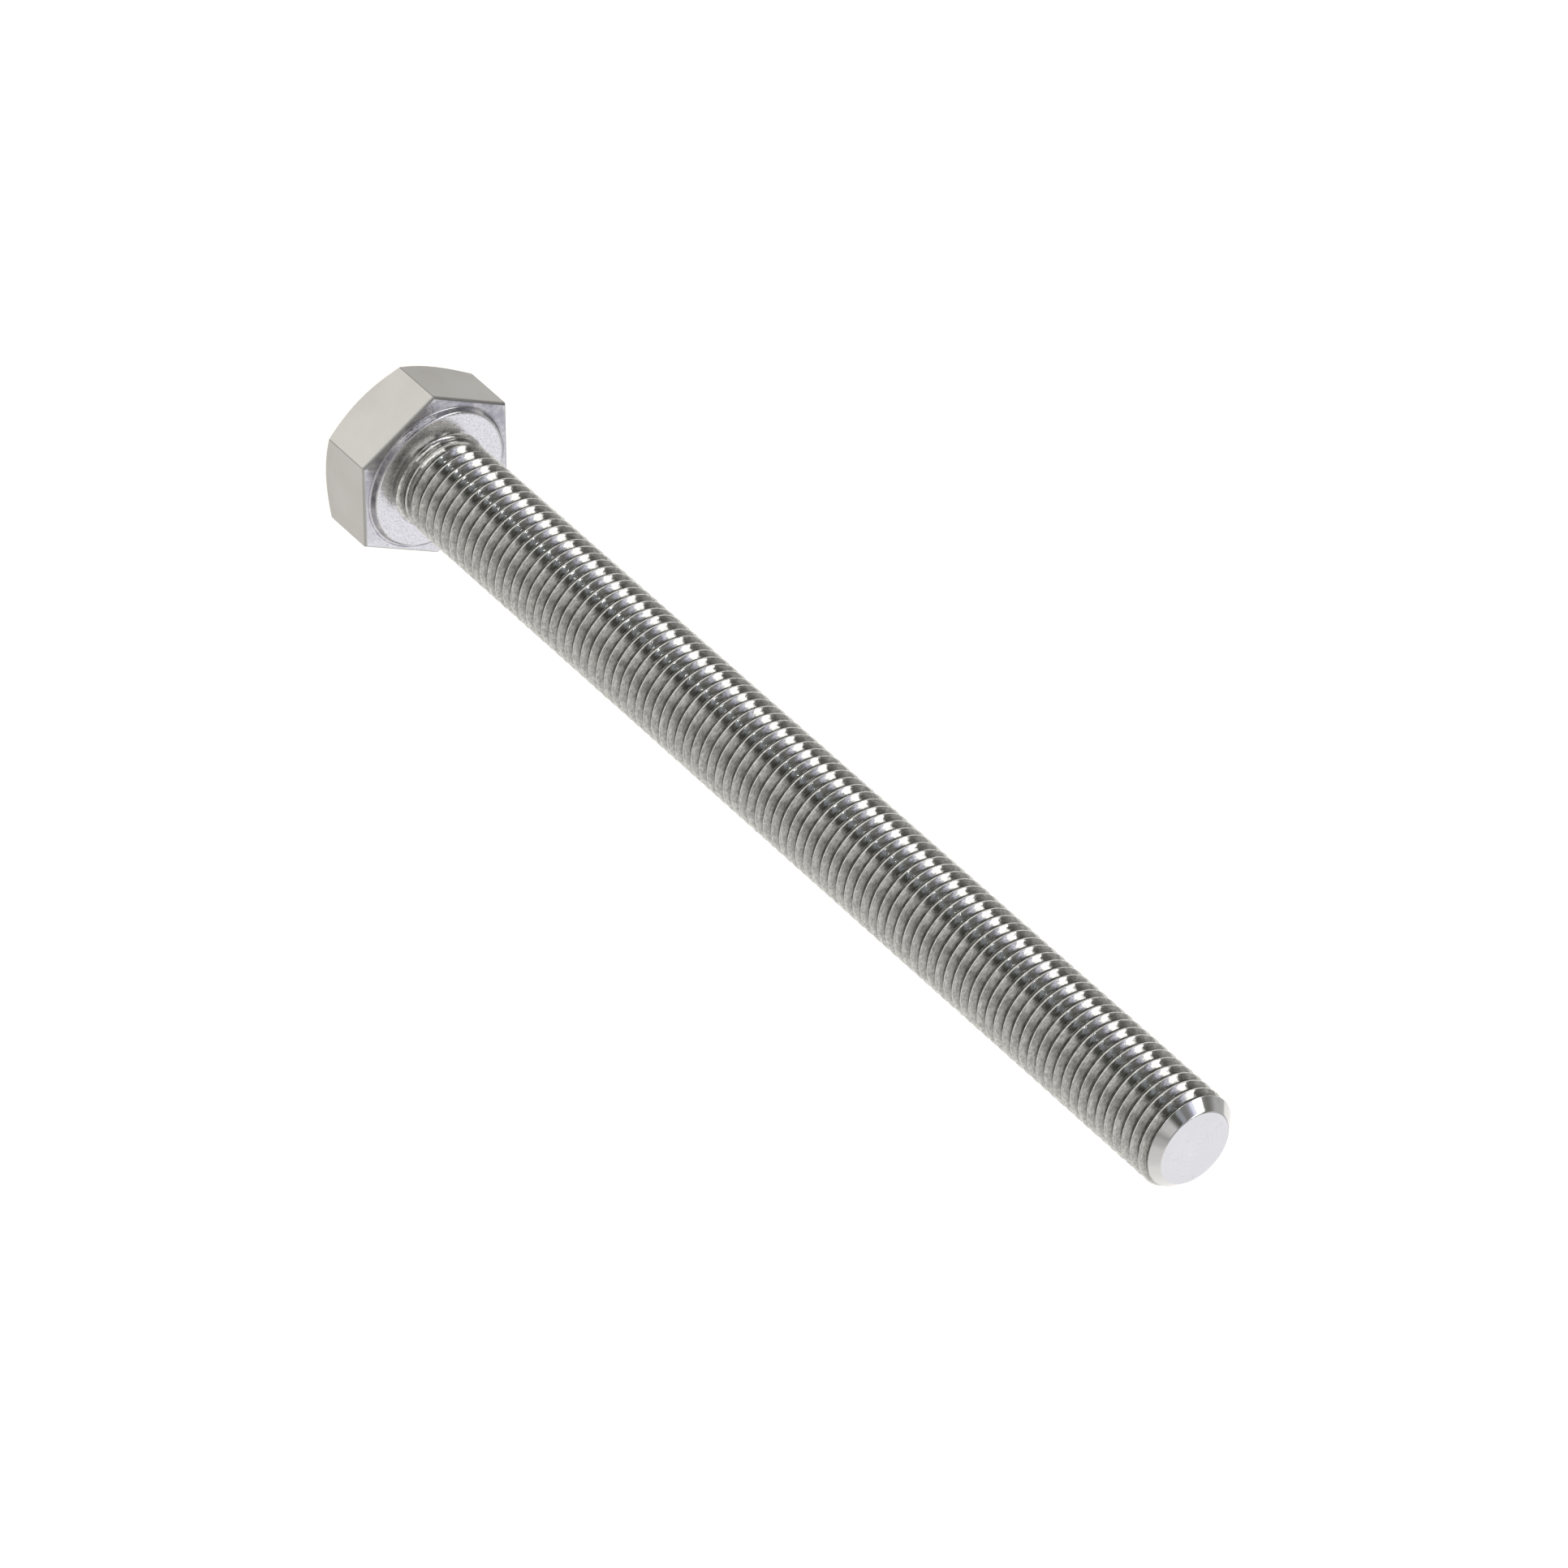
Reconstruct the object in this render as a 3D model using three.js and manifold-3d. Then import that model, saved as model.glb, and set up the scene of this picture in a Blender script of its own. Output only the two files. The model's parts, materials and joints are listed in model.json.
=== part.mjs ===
// A fully threaded hex bolt, M6 x 0.75 fine pitch, 70 mm long, in millimetres.
// It stands on its head: the origin is the centre of the head's outer face, +Z runs along
// the shank to the point, and +X looks out of the middle of one wrench flat.
// The real bolt is one forging with a rolled thread, so it is one closed solid.

import * as THREE from "three";
import { mergeVertices } from "three/addons/utils/BufferGeometryUtils.js";
import Module from "manifold-3d";

// Driving dimensions
const THREAD_DIAMETER = 6;
const PITCH = 0.75;
const SHANK_LENGTH = 70; // from the bearing face to the point
const ACROSS_FLATS = 10;
const HEAD_HEIGHT = 4.35; // washer face included

// Head
const TOP_FACE_DIAMETER = 0.95 * ACROSS_FLATS;
const TOP_CHAMFER = THREE.MathUtils.degToRad(30);
const EDGE_BREAK_WIDTH = 0.1; // on the bearing side of the hexagon
const EDGE_BREAK_HEIGHT = 0.14;
const WASHER_FACE_DIAMETER = 8.6;
const WASHER_FOOT_DIAMETER = 9.2;
const WASHER_FACE_HEIGHT = 0.37;

// Neck between the bearing face and the first thread
const NECK_DIAMETER = 5.6;
const NECK_LENGTH = 0.95;
const FILLET_RADIUS = 0.3;

// Thread, with flanks at 45 degrees and a flat crest an eighth of the pitch wide
const FLANK_HALF_ANGLE = THREE.MathUtils.degToRad(45);
const CREST_WIDTH = PITCH / 8;
const THREAD_DEPTH = (PITCH - CREST_WIDTH) / 2 / Math.tan(FLANK_HALF_ANGLE);
const RUN_IN = PITCH; // length over which the thread rises from the neck
const THREAD_PHASE = 0.389; // turns, sets where the crest leaves the point

// Point: a 45 degree chamfer down to a flat end
const POINT_DIAMETER = 4.6;

// Facets
const STEPS_PER_TURN = 16;
const LATHE_STEPS = 48;
const FILLET_STEPS = 4;
const SPARE = 1; // how far a solid runs on inside or past its neighbour

const bearingFace = HEAD_HEIGHT;
const hexFace = HEAD_HEIGHT - WASHER_FACE_HEIGHT;
const pointEnd = HEAD_HEIGHT + SHANK_LENGTH;
const crestRadius = THREAD_DIAMETER / 2;
const neckRadius = NECK_DIAMETER / 2;

const wasm = await Module();
wasm.setup();

// A closed three.js geometry as a solid that can be joined and cut.
function solid(geometry) {
  const bare = geometry.clone();
  bare.deleteAttribute("normal");
  bare.deleteAttribute("uv");
  const merged = mergeVertices(bare, 1e-4);
  const triangles = [];
  const index = merged.index.array;
  for (let i = 0; i < index.length; i += 3) {
    const [a, b, c] = index.slice(i, i + 3);
    if (a !== b && b !== c && c !== a) triangles.push(a, b, c);
  }
  return new wasm.Manifold(
    new wasm.Mesh({
      numProp: 3,
      vertProperties: merged.attributes.position.array,
      triVerts: new Uint32Array(triangles),
    }),
  );
}

// A solid as a geometry again.
function geometryOf(body) {
  const mesh = body.getMesh();
  const geometry = new THREE.BufferGeometry();
  const positions = new THREE.BufferAttribute(mesh.vertProperties, mesh.numProp);
  geometry.setAttribute("position", positions);
  geometry.setIndex(new THREE.BufferAttribute(mesh.triVerts, 1));
  geometry.computeVertexNormals();
  return geometry;
}

// A profile of [radius, height] pairs, from the bottom up, turned about the Z axis.
function turned(profile) {
  const points = profile.map(([radius, height]) => new THREE.Vector2(radius, height));
  return solid(new THREE.LatheGeometry(points, LATHE_STEPS).rotateX(Math.PI / 2));
}

// Hexagon with broken edges on the bearing side, cut by the cone of the top chamfer.
function hexagonHead() {
  const cornerRadius = ACROSS_FLATS / 2 / Math.cos(Math.PI / 6);
  const outline = new THREE.Shape();
  for (let corner = 0; corner < 6; corner += 1) {
    const angle = ((corner + 0.5) * Math.PI) / 3;
    const x = cornerRadius * Math.cos(angle);
    const y = cornerRadius * Math.sin(angle);
    if (corner === 0) outline.moveTo(x, y);
    else outline.lineTo(x, y);
  }
  outline.closePath();
  const prism = new THREE.ExtrudeGeometry(outline, {
    depth: hexFace + SPARE - EDGE_BREAK_HEIGHT,
    bevelEnabled: true,
    bevelSegments: 1,
    bevelSize: EDGE_BREAK_WIDTH,
    bevelOffset: -EDGE_BREAK_WIDTH,
    bevelThickness: EDGE_BREAK_HEIGHT,
  }).translate(0, 0, -SPARE);
  const topRadius = TOP_FACE_DIAMETER / 2;
  const clearRadius = cornerRadius + SPARE;
  const chamferHeight = (clearRadius - topRadius) * Math.tan(TOP_CHAMFER);
  const cone = turned([
    [0, 0],
    [topRadius, 0],
    [clearRadius, chamferHeight],
    [clearRadius, HEAD_HEIGHT],
    [0, HEAD_HEIGHT],
  ]);
  return solid(prism).intersect(cone);
}

// Raised washer face, the fillet under the head and the plain neck.
function washerFaceAndNeck() {
  const fillet = [];
  for (let step = 0; step <= FILLET_STEPS; step += 1) {
    const angle = (step / FILLET_STEPS) * (Math.PI / 2);
    fillet.push([
      neckRadius + FILLET_RADIUS * (1 - Math.sin(angle)),
      bearingFace + FILLET_RADIUS * (1 - Math.cos(angle)),
    ]);
  }
  return turned([
    [0, hexFace - SPARE],
    [WASHER_FOOT_DIAMETER / 2, hexFace - SPARE],
    [WASHER_FOOT_DIAMETER / 2, hexFace],
    [WASHER_FACE_DIAMETER / 2, bearingFace],
    ...fillet,
    [neckRadius, bearingFace + NECK_LENGTH],
    [0, bearingFace + NECK_LENGTH],
  ]);
}

// Radius of the thread's surface at a point of the profile that is crest or root.
function threadRadius(onCrest, height) {
  const full = onCrest ? crestRadius : crestRadius - THREAD_DEPTH;
  const start = neckRadius - THREAD_DEPTH / 2;
  const rise = (height - bearingFace - NECK_LENGTH / 2) / RUN_IN;
  return THREE.MathUtils.lerp(start, full, THREE.MathUtils.clamp(rise, 0, 1));
}

// A right-hand helical rod. One turn's profile has two crest edges and one root, and its
// upper end is the start of the next turn's profile, so the turns share their vertices.
function helicalRod(bottom, top) {
  const profile = [
    { offset: -CREST_WIDTH / 2, onCrest: true },
    { offset: CREST_WIDTH / 2, onCrest: true },
    { offset: PITCH / 2, onCrest: false },
  ];
  const turns = Math.ceil((top - bottom) / PITCH) + 1;
  const steps = turns * STEPS_PER_TURN;
  const positions = [];
  for (let step = 0; step <= steps; step += 1) {
    const angle = (step / STEPS_PER_TURN + THREAD_PHASE) * 2 * Math.PI;
    for (const { offset, onCrest } of profile) {
      const height = bottom + (step / STEPS_PER_TURN) * PITCH + offset;
      const radius = threadRadius(onCrest, height);
      positions.push(radius * Math.cos(angle), radius * Math.sin(angle), height);
    }
  }
  // The profile's fourth point is the first point of the same angle one turn on.
  const count = profile.length;
  const vertex = (step, point) =>
    point < count ? step * count + point : (step + STEPS_PER_TURN) * count;
  const triangles = [];
  const lastStep = steps - STEPS_PER_TURN;
  for (let step = 0; step < lastStep; step += 1) {
    for (let point = 0; point < count; point += 1) {
      const corners = [
        vertex(step, point),
        vertex(step + 1, point),
        vertex(step + 1, point + 1),
        vertex(step, point + 1),
      ];
      triangles.push(corners[0], corners[1], corners[2]);
      triangles.push(corners[0], corners[2], corners[3]);
    }
  }
  // Each end is a fan about an axis point, round the last helical edge and its riser.
  const bottomAxis = positions.length / 3;
  positions.push(0, 0, bottom - PITCH);
  const topAxis = bottomAxis + 1;
  positions.push(0, 0, top + 2 * PITCH);
  for (let step = 0; step < STEPS_PER_TURN; step += 1) {
    triangles.push(bottomAxis, vertex(step + 1, 0), vertex(step, 0));
    triangles.push(topAxis, vertex(lastStep + step, 0), vertex(lastStep + step + 1, 0));
  }
  for (let point = 0; point < count; point += 1) {
    triangles.push(bottomAxis, vertex(0, point), vertex(0, point + 1));
    triangles.push(topAxis, vertex(lastStep, point + 1), vertex(lastStep, point));
  }
  const rod = new THREE.BufferGeometry();
  rod.setAttribute("position", new THREE.Float32BufferAttribute(positions, 3));
  rod.setIndex(triangles);
  return solid(rod);
}

// The thread from inside the neck to the chamfered point.
function threadedShank() {
  const foot = bearingFace + NECK_LENGTH / 4;
  const clearRadius = crestRadius + SPARE;
  const pointRadius = POINT_DIAMETER / 2;
  const envelope = turned([
    [0, foot],
    [clearRadius, foot],
    [clearRadius, pointEnd - (clearRadius - pointRadius)],
    [pointRadius, pointEnd],
    [0, pointEnd],
  ]);
  return helicalRod(foot - PITCH, pointEnd + PITCH).intersect(envelope);
}

const steel = new THREE.MeshStandardMaterial({
  color: 0xc9c7c3,
  roughness: 0.28,
  metalness: 1,
});

const bolt = hexagonHead().add(washerFaceAndNeck()).add(threadedShank());
const hexBolt = new THREE.Mesh(geometryOf(bolt), steel);
hexBolt.name = "hex_bolt";

const assembly = new THREE.Group();
assembly.add(hexBolt);
export default assembly;
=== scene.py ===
"""Looks of the M6 hex bolt: its forged head, rolled thread and turned point, a pale
light-table floor, soft studio cards and lamps, and the camera. Lengths are in metres."""

import json
import math

import bmesh
import bpy
from mathutils import Matrix, Vector


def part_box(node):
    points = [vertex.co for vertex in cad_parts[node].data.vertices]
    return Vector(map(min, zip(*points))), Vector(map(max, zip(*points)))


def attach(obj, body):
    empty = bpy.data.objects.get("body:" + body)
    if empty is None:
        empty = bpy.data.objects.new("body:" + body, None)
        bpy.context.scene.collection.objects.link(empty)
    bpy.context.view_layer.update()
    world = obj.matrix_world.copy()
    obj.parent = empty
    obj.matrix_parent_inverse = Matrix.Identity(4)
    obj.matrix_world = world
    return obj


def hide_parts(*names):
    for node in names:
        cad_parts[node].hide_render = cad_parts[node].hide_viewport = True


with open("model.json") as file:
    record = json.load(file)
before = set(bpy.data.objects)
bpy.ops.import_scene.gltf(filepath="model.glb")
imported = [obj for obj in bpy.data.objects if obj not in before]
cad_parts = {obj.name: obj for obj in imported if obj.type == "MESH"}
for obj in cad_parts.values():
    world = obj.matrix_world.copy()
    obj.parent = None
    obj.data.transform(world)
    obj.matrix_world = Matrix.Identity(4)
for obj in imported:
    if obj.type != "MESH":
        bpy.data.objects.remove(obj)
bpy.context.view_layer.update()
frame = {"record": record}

MM = 0.001
MOUNTS = {mount["name"]: mount for mount in frame["record"]["mounts"]}

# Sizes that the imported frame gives
bolt_low, bolt_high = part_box("hex_bolt")
ACROSS_FLATS = bolt_high.x - bolt_low.x
POINT_END = bolt_high.z
BEARING_FACE = MOUNTS["bearing_face"]["pos_m"][2]

# Head
TOP_RADIUS = 0.95 * ACROSS_FLATS / 2
TOP_CHAMFER = math.radians(30)
TOP_RINGS = (0.4, 0.8)  # radii of the outer face's inner rings, as shares of its own
CORNER_ROUNDING = 0.10 * MM
CORNER_MARGIN = CORNER_ROUNDING * 0.05  # past a flat's end, where the corner's painted shade starts
EDGE_BREAK_WIDTH = 0.10 * MM  # on the bearing side of the hexagon
EDGE_BREAK_HEIGHT = 0.14 * MM
SOFT_EDGE = 0.04 * MM  # how far from an edge the rows that ease it lie
WASHER_RADIUS = 4.39 * MM  # before its rim is rounded off
WASHER_FOOT_RADIUS = 4.6 * MM
WASHER_HEIGHT = 0.37 * MM
HOLLOW_RADIUS = 0.16 * MM  # of the hollow round the washer face's foot
RIM_RADIUS = 0.20 * MM  # of the washer face's round rim
ARC_SHIFT = 0.6  # how far those two arcs lie outward, as a share of their radii
BEARING_MIDDLE_RADIUS = 3.6 * MM
STITCH_WIDTH = 0.15 * MM  # between the head's innermost vertices and the fillet
HEX_FACE = BEARING_FACE - WASHER_HEIGHT

# Painted light and shade on each flat, as a factor on its colour, by sector: the flat on +X comes
# first, and the others follow anticlockwise as seen from the point
PAINTED_FLAT_SHADE = (0.92, 0.90, 1.0, 0.88, 0.70, 1.11)

# How much painted shade each flat's broken edge on the bearing side gets, in the same order
EDGE_SHADE_BY_SECTOR = (0.2, 0.0, 0.0, 0.0, 1.0, 1.0)

# Neck
NECK_RADIUS = 2.8 * MM
NECK_LENGTH = 0.95 * MM
NECK_FILLET = 0.3 * MM

# Thread: flanks at 45 degrees, a narrow flat crest and a rounded root
THREAD_RADIUS = 3.0 * MM
PITCH = 0.75 * MM
CREST_WIDTH = PITCH / 10
CREST_ROUNDING = 0.02 * MM
ROOT_ROUNDING = 0.10 * PITCH
FLANK_TURN = math.radians(45)  # from the shank's surface down to a flank
FLANK_SLOPE = math.tan(FLANK_TURN)
SHARP_DEPTH = (PITCH - CREST_WIDTH) / 2 * FLANK_SLOPE
THREAD_DEPTH = SHARP_DEPTH - ROOT_ROUNDING * (1 / math.cos(FLANK_TURN) - 1)
CREST_EDGE = CREST_WIDTH / 2
CREST_REACH = CREST_ROUNDING * math.tan(FLANK_TURN / 2)  # of the rounding, from that edge
ROOT_EDGE = ROOT_ROUNDING * math.sin(FLANK_TURN)  # half the width of the rounded root
RUN_IN = PITCH
THREAD_PHASE = 1.389  # turns, sets where the crest leaves the point
FIRST_CREST = BEARING_FACE + NECK_LENGTH / 4 - THREAD_PHASE * PITCH  # on the +X side

# Point
POINT_RADIUS = 2.3 * MM
POINT_EDGE = 0.05 * MM
POINT_ZONE = 1.1 * MM  # the stretch with a finer mesh
CONE_LENGTH = 0.8 * MM  # the cone ends within this distance of the end face
END_RINGS = (0.97, 0.7, 0.35)  # radii of the end face's rings, as shares of its own

# Mesh
COLUMNS = 64  # round the shank
FLAT_STEPS = 14  # along each of the head's flats
CORNER_STEPS = 5
FINE_ROWS = 40  # to a pitch, near the point
FILLET_STEPS = 6
TOLERANCE = 1e-9

# Order of the material slots
HEAD, UNDERSIDE, THREAD, POINT = range(4)

# Camera, with angles in degrees
VIEW_AZIMUTH = 34.393
VIEW_ELEVATION = 37.418
VIEW_ROLL = -131.543
VIEW_DISTANCE = 0.64216
VIEW_HEIGHT = 0.03741
LENS = 266.31  # millimetres

# Floor
FLOOR_RADIUS = 6.0
FLOOR_SIDES = 96
FLOOR_COLOUR = (0.35, 0.347, 0.34, 1)
FLOOR_GLOW = (1.0, 0.985, 0.955, 1)
FLOOR_GLOW_STRENGTH = 0.86


def arc(count, start, end):
    """Angles in radians, at even steps from start to end, which are given in degrees."""
    return [math.radians(start + (end - start) * i / count) for i in range(count + 1)]


def sector(x, y):
    """Which of the hexagon's six flats a place belongs to, 0 for the one on +X."""
    return round(math.atan2(y, x) / math.radians(60)) % 6


# ---------------------------------------------------------------- shape of the thread


def thread_depth(offset):
    """Depth below the crest at a distance along the axis from the middle of a crest."""
    away = abs((offset / PITCH + 0.5) % 1 - 0.5) * PITCH
    if away <= CREST_EDGE - CREST_REACH:
        return 0.0
    if away < CREST_EDGE + CREST_REACH * math.cos(FLANK_TURN):
        beyond = away - (CREST_EDGE - CREST_REACH)
        return CREST_ROUNDING - math.sqrt(CREST_ROUNDING**2 - beyond**2)
    if away < PITCH / 2 - ROOT_EDGE:
        return (away - CREST_EDGE) * FLANK_SLOPE
    across = PITCH / 2 - away
    return THREAD_DEPTH - ROOT_ROUNDING + math.sqrt(ROOT_ROUNDING**2 - across**2)


def point_radius(height):
    """Radius of the 45 degree point, whose edge towards the end face is eased."""
    below = POINT_END - height
    eased = max(POINT_EDGE - below, 0)
    return POINT_RADIUS + below - eased**2 / (2 * POINT_EDGE)


def shank_radius(angle, height):
    """Radius of the shank from the neck to the end, with the thread's run-in."""
    offset = height - FIRST_CREST - PITCH * angle / math.tau
    rise = (height - BEARING_FACE - NECK_FILLET) / RUN_IN
    rise = min(max(rise, 0), 1)
    threaded = THREAD_RADIUS - thread_depth(offset)
    return min(NECK_RADIUS + (threaded - NECK_RADIUS) * rise, point_radius(height))


def profile_offsets():
    """Where the rows of the mesh lie within one pitch, from the middle of a crest."""
    root = PITCH / 2
    falling = [
        CREST_EDGE - CREST_REACH,
        CREST_EDGE - CREST_REACH / 4,
        CREST_EDGE + CREST_REACH * math.cos(FLANK_TURN),
        (CREST_EDGE + root - ROOT_EDGE) / 2,
        root - ROOT_EDGE,
        root - ROOT_EDGE / 2,
    ]
    return falling + [root] + [PITCH - offset for offset in reversed(falling)]


# ------------------------------------------------------------------- building the mesh


class Builder:
    """Collects vertices and faces, and which material slot each face has."""

    def __init__(self):
        self.points = []
        self.faces = []
        self.slots = []

    def point(self, x, y, z):
        """Adds a vertex and gives its number."""
        self.points.append((x, y, z))
        return len(self.points) - 1

    def face(self, corners, slot):
        """Adds a face, unless too few different corners are left to make one."""
        kept = [c for i, c in enumerate(corners) if c != corners[i - 1]]
        if len(kept) > 2:
            self.faces.append(kept)
            self.slots.append(slot)

    def column_point(self, column, radius, height):
        """A vertex in one of the shank's columns."""
        angle = math.tau * column / COLUMNS
        return self.point(radius * math.cos(angle), radius * math.sin(angle), height)

    def ring(self, radius, height):
        """A ring of one vertex for each of the shank's columns."""
        return [self.column_point(column, radius, height) for column in range(COLUMNS)]

    def join(self, lower, upper, slot):
        """Quads between two rings with the same number of vertices."""
        for i in range(len(lower)):
            self.face([lower[i - 1], lower[i], upper[i], upper[i - 1]], slot)

    def close(self, ring, centre, slot):
        """A fan from a ring to its centre."""
        for i in range(len(ring)):
            self.face([ring[i - 1], ring[i], centre], slot)

    def stitch(self, outer, inner, slot):
        """Triangles between two flat rings whose vertices lie at different angles."""

        def turn(vertex):
            x, y, _ = self.points[vertex]
            return math.atan2(y, x) % math.tau

        outer = sorted(outer, key=turn)
        inner = sorted(inner, key=turn)
        i = j = 0
        while i < len(outer) or j < len(inner):
            a, b = outer[i % len(outer)], inner[j % len(inner)]
            next_a = turn(outer[i]) if i < len(outer) else math.inf
            next_b = turn(inner[j]) if j < len(inner) else math.inf
            if next_a <= next_b:
                self.face([outer[i - 1], a, inner[j - 1]], slot)
                i += 1
            else:
                self.face([outer[i - 1], b, inner[j - 1]], slot)
                j += 1


def hexagon(apothem):
    """Outline of the hexagon with slightly rounded corners, a flat's middle on +X."""
    centre = (apothem - CORNER_ROUNDING) / math.cos(math.radians(30))
    half = centre * math.sin(math.radians(30))
    outline = []
    for side in range(6):
        turn = math.radians(60 * side)
        local = [
            (apothem, half * (2 * step / FLAT_STEPS - 1)) for step in range(1, FLAT_STEPS)
        ]
        for a in arc(CORNER_STEPS, 0, 60):
            x = apothem - CORNER_ROUNDING + CORNER_ROUNDING * math.cos(a)
            local.append((x, half + CORNER_ROUNDING * math.sin(a)))
        for x, y in local:
            outline.append(
                (x * math.cos(turn) - y * math.sin(turn), x * math.sin(turn) + y * math.cos(turn))
            )
    return outline


def build_head(mesh):
    """The head from the middle of its outer face to the inner edge of the bearing face."""
    outline = hexagon(ACROSS_FLATS / 2)
    slope = math.tan(TOP_CHAMFER)

    def scaled(radius, height):
        """A round ring with its vertices in line with the hexagon's."""
        return [
            mesh.point(x * radius / math.hypot(x, y), y * radius / math.hypot(x, y), height)
            for x, y in outline
        ]

    def chamfer(inset, lift):
        """A row close to the edge between the chamfer's cone and the flats."""
        row = []
        for x, y in outline:
            radius = math.hypot(x, y)
            kept = (radius - inset) / radius
            height = (radius - inset - TOP_RADIUS) * slope + lift
            row.append(mesh.point(x * kept, y * kept, height))
        return row

    def walls(inset, height):
        """A hexagonal row set in from the flats."""
        return [mesh.point(x, y, height) for x, y in hexagon(ACROSS_FLATS / 2 - inset)]

    rows = [
        *[scaled(TOP_RADIUS * share, 0) for share in TOP_RINGS],
        scaled(TOP_RADIUS - 2 * SOFT_EDGE, 0),
        scaled(TOP_RADIUS, SOFT_EDGE * slope / 4),
        scaled(TOP_RADIUS + 2 * SOFT_EDGE, 2 * SOFT_EDGE * slope),
        chamfer(SOFT_EDGE, 0),
        chamfer(SOFT_EDGE / 4, SOFT_EDGE / 4),
        chamfer(0, SOFT_EDGE),
        walls(0, HEX_FACE / 2),
        walls(0, HEX_FACE - EDGE_BREAK_HEIGHT - SOFT_EDGE),
        walls(SOFT_EDGE / 4, HEX_FACE - EDGE_BREAK_HEIGHT + SOFT_EDGE / 2),
        walls(EDGE_BREAK_WIDTH - SOFT_EDGE / 2, HEX_FACE - SOFT_EDGE / 2),
        walls(EDGE_BREAK_WIDTH + SOFT_EDGE, HEX_FACE),
    ]
    centre = mesh.point(0, 0, 0)
    mesh.close(list(reversed(rows[0])), centre, HEAD)
    for lower, upper in zip(rows, rows[1:]):
        mesh.join(lower, upper, HEAD)
    washer = [scaled(radius, height) for radius, height in washer_profile()]
    mesh.join(rows[-1], washer[0], UNDERSIDE)
    for lower, upper in zip(washer, washer[1:]):
        mesh.join(lower, upper, UNDERSIDE)
    return washer[-1]


def washer_profile():
    """Radius and height of each row of the washer face: its hollow foot, its round rim and
    the flat that reaches in to the fillet."""
    lean = math.degrees(math.atan2(WASHER_FOOT_RADIUS - WASHER_RADIUS, WASHER_HEIGHT))
    points = []
    for a in arc(FILLET_STEPS, 0, 90 - lean):
        radius = WASHER_FOOT_RADIUS + HOLLOW_RADIUS * (ARC_SHIFT - math.sin(a))
        points.append((radius, HEX_FACE + HOLLOW_RADIUS * (1 - math.cos(a))))
    for a in arc(FILLET_STEPS, 90 - lean, 0):
        radius = WASHER_RADIUS - RIM_RADIUS * (ARC_SHIFT - math.sin(a))
        points.append((radius, BEARING_FACE - RIM_RADIUS * (1 - math.cos(a))))
    points.append((BEARING_MIDDLE_RADIUS, BEARING_FACE))
    points.append((NECK_RADIUS + NECK_FILLET + STITCH_WIDTH, BEARING_FACE))
    return points


def build_neck(mesh, bearing_ring):
    """The fillet under the head, up to the ring where the helical rows start."""
    rows = []
    for a in arc(FILLET_STEPS, 0, 90):
        radius = NECK_RADIUS + NECK_FILLET * (1 - math.sin(a))
        rows.append(mesh.ring(radius, BEARING_FACE + NECK_FILLET * (1 - math.cos(a))))
    mesh.stitch(bearing_ring, rows[0], UNDERSIDE)
    for lower, upper in zip(rows, rows[1:]):
        mesh.join(lower, upper, THREAD)
    return rows[-1]


def shank_point(mesh, column, height):
    """A vertex on the surface of the threaded shank."""
    return mesh.column_point(column, shank_radius(math.tau * column / COLUMNS, height), height)


def shank_ring(mesh, height):
    """A level ring on the surface of the threaded shank."""
    return [shank_point(mesh, column, height) for column in range(COLUMNS)]


def helical_band(mesh, low_ring, high_ring, low, high, offsets):
    """Rows that follow the thread, cut off level at two rings."""
    count = len(offsets)
    first = math.floor((low - FIRST_CREST) / PITCH) - 1
    turns = math.ceil((high - low) / PITCH) + 3
    made = {}

    def height(column, row):
        turn, place = divmod(row, count)
        return FIRST_CREST + (first + turn + column / COLUMNS) * PITCH + offsets[place]

    def vertex(column, row):
        if column == COLUMNS:
            column, row = 0, row + count
        z = height(column, row)
        if z <= low + TOLERANCE:
            return low_ring[column]
        if z >= high - TOLERANCE:
            return high_ring[column]
        if (column, row) not in made:
            made[column, row] = shank_point(mesh, column, z)
        return made[column, row]

    for row in range(turns * count):
        for column in range(COLUMNS):
            corners = [
                vertex(column, row),
                vertex(column + 1, row),
                vertex(column + 1, row + 1),
                vertex(column, row + 1),
            ]
            mesh.face(corners, THREAD)


def on_point(mesh, face):
    """Whether a face lies on the cone of the point and not on the thread."""
    for vertex in face:
        x, y, z = mesh.points[vertex]
        if z < POINT_END - CONE_LENGTH or math.hypot(x, y) < point_radius(z) - TOLERANCE:
            return False
    return True


def build_bolt():
    """The whole bolt as one closed mesh."""
    mesh = Builder()
    bearing_ring = build_head(mesh)
    neck_ring = build_neck(mesh, bearing_ring)
    neck_end = BEARING_FACE + NECK_FILLET
    zone = POINT_END - POINT_ZONE
    zone_ring = shank_ring(mesh, zone)
    end_ring = shank_ring(mesh, POINT_END)
    helical_band(mesh, neck_ring, zone_ring, neck_end, zone, profile_offsets())
    fine = [PITCH * row / FINE_ROWS for row in range(FINE_ROWS)]
    helical_band(mesh, zone_ring, end_ring, zone, POINT_END, fine)
    mesh.slots = [
        POINT if slot == THREAD and on_point(mesh, face) else slot
        for slot, face in zip(mesh.slots, mesh.faces)
    ]
    radius = shank_radius(0, POINT_END)
    rings = [end_ring] + [mesh.ring(radius * share, POINT_END) for share in END_RINGS]
    for outer, inner in zip(rings, rings[1:]):
        mesh.join(outer, inner, POINT)
    mesh.close(rings[-1], mesh.point(0, 0, POINT_END), POINT)
    return mesh


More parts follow.
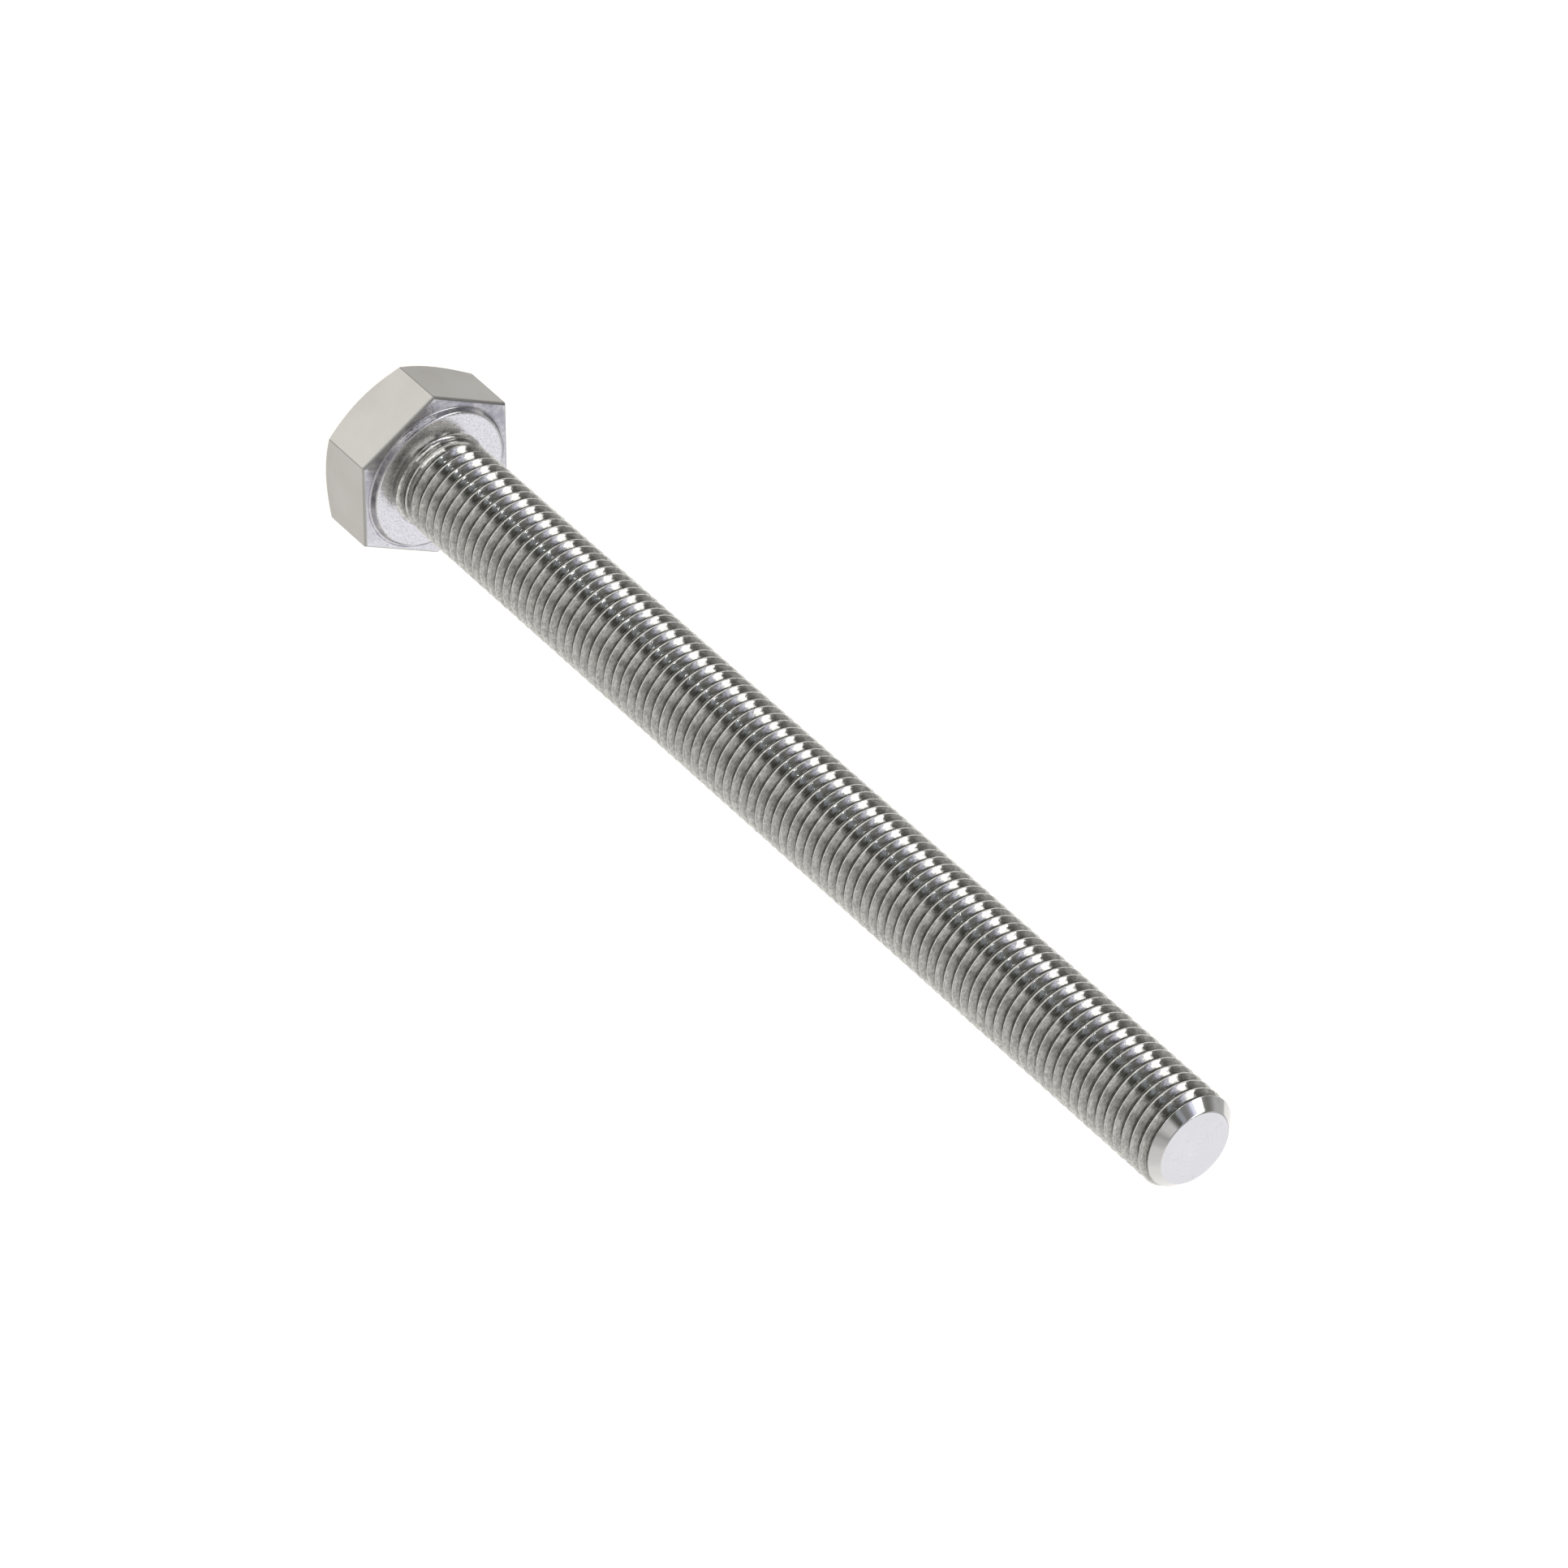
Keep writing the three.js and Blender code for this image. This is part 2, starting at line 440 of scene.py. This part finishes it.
def painted_edge_darkness(x, y, z):
    """How much painted shade darkens a place on the head, from 0 to 1: fully on the rounding
    between two flats, and by a share for each sector on the broken edges of the bearing side."""
    radius = math.hypot(x, y)
    turn = math.remainder(math.atan2(y, x), math.radians(60))
    across = abs(radius * math.sin(turn))
    half_flat = (ACROSS_FLATS / 2 - CORNER_ROUNDING) * math.tan(math.radians(30))
    break_start = HEX_FACE - EDGE_BREAK_HEIGHT
    if z < break_start and across > half_flat + CORNER_MARGIN:
        return 1.0
    if break_start < z <= HEX_FACE and radius > ACROSS_FLATS / 2 - 2 * EDGE_BREAK_WIDTH:
        return EDGE_SHADE_BY_SECTOR[sector(x, y)]
    return 0.0


def face_sector(mesh, face):
    """The sector that the middle of a face lies in."""
    x = sum(mesh.points[vertex][0] for vertex in face)
    y = sum(mesh.points[vertex][1] for vertex in face)
    return sector(x, y)


def to_object(mesh, name, materials):
    """A smooth shaded Blender object. For the materials its vertices carry how near the crest
    they are and how much painted shade they get, and its faces the painted light and shade of
    their flat."""
    data = bpy.data.meshes.new(name)
    data.from_pydata(mesh.points, [], mesh.faces)
    for material in materials:
        data.materials.append(material)
    data.polygons.foreach_set("material_index", mesh.slots)
    data.polygons.foreach_set("use_smooth", [True] * len(mesh.faces))
    depths = [THREAD_RADIUS - math.hypot(x, y) for x, y, _ in mesh.points]
    crest = [min(max(1 - depth / THREAD_DEPTH, 0), 1) for depth in depths]
    # Painted shade on the corner roundings and the bearing side's broken edges
    painted_edge_shade = [painted_edge_darkness(*point) for point in mesh.points]
    # Painted light and shade: each face takes the factor painted on its flat
    painted_flat_shade = [PAINTED_FLAT_SHADE[face_sector(mesh, face)] for face in mesh.faces]
    for key, domain, values in [
        ("crest", "POINT", crest),
        ("painted_edge_shade", "POINT", painted_edge_shade),
        ("painted_flat_shade", "FACE", painted_flat_shade),
    ]:
        data.attributes.new(key, "FLOAT", domain).data.foreach_set("value", values)
    data.update()
    bolt = bpy.data.objects.new(name, data)
    bpy.context.scene.collection.objects.link(bolt)
    weighted = bolt.modifiers.new("even_shading", "WEIGHTED_NORMAL")
    weighted.mode = "FACE_AREA"
    weighted.weight = 80
    return bolt


# --------------------------------------------------------------------------- materials


class Nodes:
    """Adds shader nodes and links them."""

    def __init__(self, tree):
        self.tree = tree
        tree.nodes.clear()

    def add(self, kind, inputs=None, **settings):
        """Adds a node. An input that is a socket is linked, and any other is a value."""
        node = self.tree.nodes.new(kind)
        for key, value in settings.items():
            setattr(node, key, value)
        for key, value in (inputs or {}).items():
            if isinstance(value, bpy.types.NodeSocket):
                self.tree.links.new(value, node.inputs[key])
            else:
                node.inputs[key].default_value = value
        return node

    def noise(self, vector, scale, detail, roughness=0.5):
        """Noise from 0 to 1, with scale in features per millimetre."""
        inputs = {"Vector": vector, "Scale": scale, "Detail": detail, "Roughness": roughness}
        return self.add("ShaderNodeTexNoise", inputs).outputs["Fac"]

    def remap(self, value, from_low, from_high, to_low, to_high, smooth=False):
        """A value moved from one range to another, and kept inside the new one."""
        inputs = {
            "Value": value,
            "From Min": from_low,
            "From Max": from_high,
            "To Min": to_low,
            "To Max": to_high,
        }
        kind = "SMOOTHSTEP" if smooth else "LINEAR"
        node = self.add("ShaderNodeMapRange", inputs, interpolation_type=kind)
        return node.outputs["Result"]

    def math(self, operation, first, second=0.0):
        """The result of one of Blender's math operations."""
        node = self.add("ShaderNodeMath", {0: first, 1: second}, operation=operation)
        return node.outputs["Value"]

    def mix(self, share, first, second):
        """A colour between two others, the second one where share is 1."""
        inputs = {0: share, 6: first, 7: second}
        return self.add("ShaderNodeMix", inputs, data_type="RGBA").outputs[2]

    def shade(self, colour, share):
        """A colour made darker or lighter by a factor."""
        grey = self.add("ShaderNodeCombineColor", {"Red": share, "Green": share, "Blue": share})
        inputs = {0: 1.0, 6: colour, 7: grey.outputs[0]}
        node = self.add("ShaderNodeMix", inputs, data_type="RGBA", blend_type="MULTIPLY")
        return node.outputs[2]

    def ramp(self, value, stops):
        """A colour that changes along stops of (position, colour)."""
        node = self.add("ShaderNodeValToRGB", {"Fac": value})
        elements = node.color_ramp.elements
        while len(elements) < len(stops):
            elements.new(0.5)
        for element, (position, colour) in zip(elements, stops):
            element.position = position
            element.color = (*colour, 1)
        return node.outputs["Color"]

    def band(self, value, middle, half_width):
        """1 in the middle of a band and 0 outside it."""
        away = self.math("ABSOLUTE", self.math("SUBTRACT", value, middle))
        return self.remap(away, half_width * 0.3, half_width, 1, 0, smooth=True)

    def bump(self, layers):
        """A normal from layers of (height, relief), each on top of the one before."""
        normal = None
        for height, relief in layers:
            inputs = {"Distance": relief, "Height": height}
            if normal:
                inputs["Normal"] = normal
            normal = self.add("ShaderNodeBump", inputs).outputs["Normal"]
        return normal

    def attribute(self, name):
        """A number that the mesh carries."""
        return self.add("ShaderNodeAttribute", attribute_name=name).outputs["Fac"]

    def split(self, place):
        """The three coordinates of a place."""
        return self.add("ShaderNodeSeparateXYZ", {0: place}).outputs

    def radius(self, place):
        """Distance from the bolt's axis."""
        x, y, _ = self.split(place)
        square = self.math("ADD", self.math("MULTIPLY", x, x), self.math("MULTIPLY", y, y))
        return self.math("SQRT", square)

    def rings(self, place):
        """Coordinates that only change across the lines of a turning tool."""
        height = self.split(place)[2]
        return self.add("ShaderNodeCombineXYZ", {0: self.radius(place), 1: height}).outputs[0]

    def millimetres(self):
        """The object's own coordinates in millimetres."""
        place = self.add("ShaderNodeTexCoord").outputs["Object"]
        inputs = {0: place, "Scale": 1 / MM}
        return self.add("ShaderNodeVectorMath", inputs, operation="SCALE").outputs[0]


def metal(name, nodes_of):
    """A metal material whose colour, roughness and normal nodes_of makes."""
    material = bpy.data.materials.new(name)
    material.use_nodes = True
    nodes = Nodes(material.node_tree)
    colour, roughness, normal = nodes_of(nodes, nodes.millimetres())
    shader = nodes.add(
        "ShaderNodeBsdfPrincipled",
        {"Base Color": colour, "Metallic": 1.0, "Roughness": roughness, "Normal": normal},
    )
    nodes.add("ShaderNodeOutputMaterial", {"Surface": shader.outputs[0]})
    return material


def forged_head(nodes, place):
    """Smooth satin flats with faint clouds and a very fine grain."""
    clouds = nodes.remap(nodes.noise(place, scale=0.35, detail=3), 0.3, 0.7, 0, 1)
    grain = nodes.noise(place, scale=9, detail=3, roughness=0.6)
    colour = nodes.mix(clouds, (0.49, 0.475, 0.455, 1), (0.53, 0.52, 0.50, 1))
    colour = nodes.shade(colour, nodes.remap(grain, 0.3, 0.7, 0.97, 1.02))
    # Painted light and shade: each flat is made lighter or darker by its sector
    colour = nodes.shade(colour, nodes.attribute("painted_flat_shade"))
    # Painted shade: darker corner roundings and broken edges
    colour = nodes.shade(colour, nodes.remap(nodes.attribute("painted_edge_shade"), 0, 1, 1.0, 0.66))
    roughness = nodes.remap(grain, 0.3, 0.7, 0.38, 0.46)
    return colour, roughness, nodes.bump([(grain, 0.0015 * MM)])


def satin_underside(nodes, place):
    """A speckled satin bearing side. Painted shade darkens both sides of the step's foot, and a
    faint halo round it that grows darker towards -Y, in a colour with a painted bluish reflection
    tint."""
    grain = nodes.noise(place, scale=8, detail=3, roughness=0.7)
    clouds = nodes.noise(place, scale=1.6, detail=3)
    speckle = nodes.remap(grain, 0.3, 0.7, 0, 1)
    colour = nodes.mix(speckle, (0.54, 0.535, 0.54, 1), (0.72, 0.715, 0.72, 1))
    pits = nodes.noise(place, scale=9, detail=2, roughness=0.7)
    colour = nodes.shade(colour, nodes.remap(pits, 0.34, 0.46, 0.70, 1.0))
    # Painted shade round the step's foot and towards -Y, mixed towards a dark colour whose bluish
    # patches are a painted reflection
    radius = nodes.radius(place)
    foot = WASHER_FOOT_RADIUS / MM
    outside = nodes.band(radius, middle=foot + 0.11, half_width=0.07)
    inside = nodes.band(radius, middle=foot - 0.10, half_width=0.16)
    darker_towards_minus_y = nodes.remap(nodes.split(place)[1], -3, 3, 0.95, 0.10)
    shade_halo = nodes.math("MULTIPLY", nodes.band(radius, foot + 0.4, 0.7), darker_towards_minus_y)
    painted_shade = nodes.math("MAXIMUM", nodes.math("MAXIMUM", outside, inside), shade_halo)
    patchy = nodes.remap(clouds, 0.35, 0.6, 0.5, 1.0)
    painted_shade = nodes.math("MULTIPLY", painted_shade, patchy)
    tint = nodes.mix(clouds, (0.24, 0.235, 0.23, 1), (0.29, 0.28, 0.33, 1))
    colour = nodes.mix(painted_shade, colour, tint)
    roughness = nodes.remap(grain, 0.3, 0.7, 0.10, 0.20)
    return colour, roughness, nodes.bump([(grain, 0.010 * MM), (clouds, 0.010 * MM)])


def rolled_thread(nodes, place):
    """Bright crests, mottled flanks, and painted shade that darkens the flanks towards near-black
    roots. The grain is drawn out round the shank, and the levels between root and crest wander a
    little."""
    stretch = {0: place, 1: (0.5, 0.5, 1.5)}
    rolled = nodes.add("ShaderNodeVectorMath", stretch, operation="MULTIPLY").outputs[0]
    grain = nodes.noise(rolled, scale=8, detail=3, roughness=0.75)
    mottle = nodes.noise(rolled, scale=4.5, detail=3, roughness=0.6)
    clouds = nodes.noise(place, scale=1.1, detail=2)
    wander = nodes.math("MULTIPLY", nodes.math("SUBTRACT", mottle, 0.5), 0.2)
    level = nodes.math("ADD", nodes.attribute("crest"), wander)
    # Painted shade: the colour darkens from the crest down the flanks into the roots
    colour = nodes.ramp(
        level,
        [
            (0.0, (0.08, 0.08, 0.075)),
            (0.07, (0.18, 0.178, 0.168)),
            (0.18, (0.32, 0.315, 0.295)),
            (0.45, (0.38, 0.375, 0.355)),
            (0.72, (0.47, 0.465, 0.445)),
            (0.92, (0.54, 0.535, 0.515)),
            (0.97, (0.49, 0.485, 0.465)),
        ],
    )
    colour = nodes.shade(colour, nodes.remap(mottle, 0.3, 0.7, 0.86, 1.10))
    colour = nodes.shade(colour, nodes.remap(grain, 0.34, 0.66, 0.68, 1.30))
    roughness = nodes.math(
        "ADD", nodes.remap(clouds, 0.3, 0.7, 0.03, 0.07), nodes.remap(grain, 0.35, 0.7, 0.0, 0.05)
    )
    return colour, roughness, nodes.bump([(grain, 0.004 * MM), (mottle, 0.008 * MM)])


def turned_point(nodes, place):
    """A bright turned cone and end face, with fine tool lines and faint spots."""
    lines = nodes.noise(nodes.rings(place), scale=9, detail=2, roughness=0.7)
    clouds = nodes.noise(place, scale=0.8, detail=4, roughness=0.6)
    spots = nodes.noise(place, scale=3.2, detail=2)
    colour = nodes.mix(clouds, (0.60, 0.595, 0.59, 1), (0.66, 0.655, 0.65, 1))
    colour = nodes.shade(colour, nodes.remap(spots, 0.62, 0.74, 1.0, 0.90))
    colour = nodes.shade(colour, nodes.remap(lines, 0.3, 0.7, 0.97, 1.02))
    roughness = nodes.remap(spots, 0.3, 0.7, 0.08, 0.12)
    return colour, roughness, nodes.bump([(lines, 0.0006 * MM)])


def finishes():
    """The bolt's materials, in the order of its slots."""
    kinds = [forged_head, satin_underside, rolled_thread, turned_point]
    return [metal(kind.__name__, kind) for kind in kinds]


# ------------------------------------------------------------------------------ studio


def direction(azimuth, elevation):
    """A unit vector from an angle about +Z, counted from +X, and one above the horizon."""
    a, e = math.radians(azimuth), math.radians(elevation)
    return Vector((math.cos(a) * math.cos(e), math.sin(a) * math.cos(e), math.sin(e)))


# Azimuth in degrees, brightness and tint of the cards that stand round the bolt: a dark
# flag, a white softbox with a lavender edge, a flag with a faint bluish strip in it, grey
# cards that brighten to a white wall, and a grey corner.
CARDS = [
    (-180, 0.60, (1, 1, 1)),
    (-174, 0.34, (1, 1, 0.97)),
    (-164, 0.22, (1, 1, 0.93)),
    (-154.5, 0.27, (1, 1, 0.95)),
    (-152, 3.4, (1, 1, 1)),
    (-138.5, 3.4, (1, 1, 1)),
    (-135, 1.10, (0.97, 0.98, 1.08)),
    (-130, 1.25, (0.94, 0.95, 1.16)),
    (-124, 0.52, (0.97, 0.98, 1.14)),
    (-117, 0.30, (1, 1, 0.98)),
    (-105, 0.26, (1, 1, 0.95)),
    (-100, 0.47, (0.93, 0.985, 1.08)),
    (-91, 0.43, (0.93, 0.985, 1.07)),
    (-87, 0.13, (1, 1, 0.93)),
    (-76, 0.12, (1, 1, 0.92)),
    (-70, 0.32, (1, 1, 0.97)),
    (-60, 0.78, (1, 1, 1)),
    (-38, 0.76, (1, 0.995, 0.99)),
    (-29, 0.62, (1, 0.99, 0.98)),
    (-20, 0.45, (1, 1, 0.99)),
    (-10, 0.58, (1, 0.99, 0.98)),
    (4, 0.66, (1, 0.99, 0.97)),
    (14, 0.84, (1, 0.99, 0.97)),
    (46, 0.92, (1, 0.99, 0.98)),
    (58, 1.06, (1, 0.99, 0.97)),
    (88, 1.20, (1, 0.985, 0.97)),
    (104, 1.2, (0.98, 0.98, 1.03)),
    (138, 1.2, (0.98, 0.98, 1.04)),
    (150, 0.62, (1, 1, 1)),
    (180, 0.60, (1, 1, 1)),
]
BRIGHTEST = max(level for _, level, _ in CARDS)

# The cards below them: dark on the camera's side and white on the far one
LOW_CARDS = [
    (-180, 0.58, (1, 1, 1)),
    (-166, 0.30, (1, 1, 0.98)),
    (-150, 0.25, (1, 1, 1)),
    (30, 0.30, (1, 1, 1)),
    (46, 0.80, (1, 0.99, 0.98)),
    (58, 1.0, (1, 0.99, 0.97)),
    (88, 1.18, (1, 0.985, 0.97)),
    (104, 1.2, (0.98, 0.98, 1.03)),
    (124, 1.2, (0.98, 0.98, 1.04)),
    (142, 0.62, (1, 1, 1)),
    (180, 0.58, (1, 1, 1)),
]

# Elevations in degrees between which the low cards give way to the cards, and those to
# the ceiling
CARDS_START = (15, 23)
CEILING_START = (62, 74)
CEILING = (0.45, 0.45, 0.46)


def build_world():
    """Two rows of cards all round the bolt, and a grey ceiling."""
    world = bpy.data.worlds.new("studio")
    bpy.context.scene.world = world
    world.use_nodes = True
    nodes = Nodes(world.node_tree)
    x, y, z = nodes.split(nodes.add("ShaderNodeTexCoord").outputs["Generated"])
    turn = nodes.remap(nodes.math("ARCTAN2", y, x), -math.pi, math.pi, 0, 1)

    def row(cards):
        """The colour of a row of cards, as a share of the brightest."""
        stops = [
            ((azimuth + 180) / 360, [level * part / BRIGHTEST for part in tint])
            for azimuth, level, tint in cards
        ]
        return nodes.ramp(turn, stops)

    def above(low, high):
        """0 below one elevation and 1 above another, in degrees."""
        low, high = math.sin(math.radians(low)), math.sin(math.radians(high))
        return nodes.remap(z, low, high, 0, 1, smooth=True)

    colour = nodes.mix(above(*CARDS_START), row(LOW_CARDS), row(CARDS))
    ceiling = (*[part / BRIGHTEST for part in CEILING], 1)
    colour = nodes.mix(above(*CEILING_START), colour, ceiling)
    background = nodes.add("ShaderNodeBackground", {"Color": colour, "Strength": BRIGHTEST})
    nodes.add("ShaderNodeOutputWorld", {"Surface": background.outputs[0]})


def build_lamp(name, azimuth, elevation, distance, size, radiance):
    """A white rectangular area light that faces the middle of the bolt."""
    light = bpy.data.lights.new(name, "AREA")
    light.shape = "RECTANGLE"
    light.size, light.size_y = size
    light.energy = radiance * math.pi * size[0] * size[1]
    lamp = bpy.data.objects.new(name, light)
    bpy.context.scene.collection.objects.link(lamp)
    out = direction(azimuth, elevation)
    lamp.location = Vector((0, 0, POINT_END / 2)) + out * distance
    lamp.rotation_euler = out.to_track_quat("Z", "Y").to_euler()
    lamp.visible_camera = False


def build_floor():
    """A round, pale light-table floor that the bolt stands on."""
    data = bpy.data.meshes.new("floor")
    shape = bmesh.new()
    bmesh.ops.create_circle(shape, cap_ends=True, segments=FLOOR_SIDES, radius=FLOOR_RADIUS)
    shape.to_mesh(data)
    shape.free()
    floor = bpy.data.objects.new("floor", data)
    floor.location.z = bolt_low.z
    bpy.context.scene.collection.objects.link(floor)
    material = bpy.data.materials.new("pale_floor")
    material.use_nodes = True
    nodes = Nodes(material.node_tree)
    shader = nodes.add(
        "ShaderNodeBsdfPrincipled",
        {
            "Base Color": FLOOR_COLOUR,
            "Roughness": 0.9,
            "Emission Color": FLOOR_GLOW,
            "Emission Strength": FLOOR_GLOW_STRENGTH,
        },
    )
    nodes.add("ShaderNodeOutputMaterial", {"Surface": shader.outputs[0]})
    data.materials.append(material)


def build_camera():
    """The camera looks down at the standing bolt from its point's side, and is rolled."""
    data = bpy.data.cameras.new("camera")
    data.lens = LENS
    camera = bpy.data.objects.new("camera", data)
    bpy.context.scene.collection.objects.link(camera)
    back = direction(VIEW_AZIMUTH - 90, VIEW_ELEVATION)
    camera.location = Vector((0, 0, VIEW_HEIGHT)) + back * VIEW_DISTANCE
    level_up = (Vector((0, 0, 1)) - back * back.z).normalized()
    level_right = level_up.cross(back)
    roll = math.radians(VIEW_ROLL)
    up = level_up * math.cos(roll) + level_right * math.sin(roll)
    camera.rotation_mode = "QUATERNION"
    camera.rotation_quaternion = Matrix((up.cross(back), up, back)).transposed().to_quaternion()
    bpy.context.scene.camera = camera


bolt = to_object(build_bolt(), "hex_bolt_steel", finishes())
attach(bolt, "root")
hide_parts("hex_bolt")

build_world()
build_lamp("front", azimuth=-82, elevation=9, distance=0.5, size=(0.60, 0.18), radiance=2.0)
build_lamp("glint", azimuth=-97, elevation=34, distance=2.0, size=(0.08, 0.08), radiance=20.0)
build_floor()
build_camera()
bpy.context.scene.view_settings.view_transform = "Standard"
